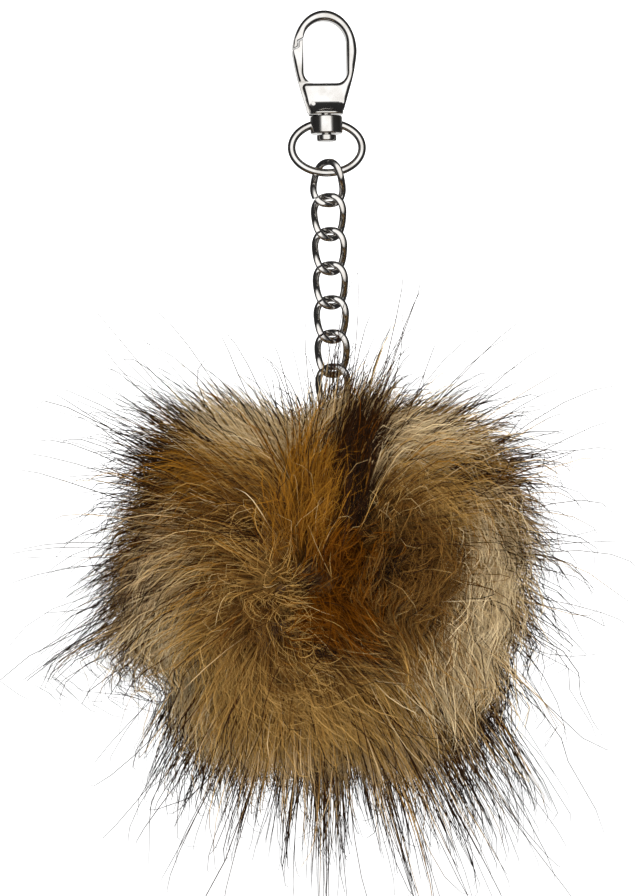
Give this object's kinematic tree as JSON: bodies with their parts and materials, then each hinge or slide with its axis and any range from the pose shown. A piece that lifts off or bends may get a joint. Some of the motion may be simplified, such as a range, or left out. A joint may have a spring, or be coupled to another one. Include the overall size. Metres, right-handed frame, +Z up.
{
  "type": "fur pom pom with curb chain and swivel snap hook",
  "caption": "Round fur pom pom that hangs on a curb chain from an oval swivel ring and a flat snap hook with a sprung gate, to clip to a bag or keys.",
  "frame": {"origin": "top inside point of the snap hook's eye, where what carries it touches it", "axes": "+Z up along the hanging chain, -Y towards the front, +X to the right of the front view"},
  "size_m": [0.1208, 0.1041, 0.2023],
  "materials": {
    "hook_metal": "polished nickel plate",
    "ring_metal": "polished nickel plate",
    "chain_metal": "polished nickel plate",
    "cord": "twisted cord",
    "fur": "long tan and brown faux fur with dark tips"
  },
  "bodies": {
    "hook": {"hook_body": "hook_metal", "gate_pin": "hook_metal", "swivel_rivet": "hook_metal"},
    "gate": {"gate": "hook_metal"},
    "pendant": {"ring": "ring_metal", "link_1": "chain_metal", "link_2": "chain_metal", "link_3": "chain_metal", "link_4": "chain_metal", "link_5": "chain_metal", "link_6": "chain_metal", "link_7": "chain_metal", "hanging_loop": "cord", "pom_pom": "fur"}
  },
  "joints": [
    {"name": "gate_hinge", "type": "hinge", "parent": "hook", "child": "gate", "pos_m": [-0.0031, 0, -0.0192], "axis": [0, 1, 0], "range_deg": [0, 24], "stiffness_Nm_per_rad": 0.02, "springref_deg": -28.65},
    {"name": "swivel", "type": "hinge", "parent": "hook", "child": "pendant", "pos_m": [0, 0, -0.024], "axis": [0, 0, 1], "continuous": true}
  ]
}
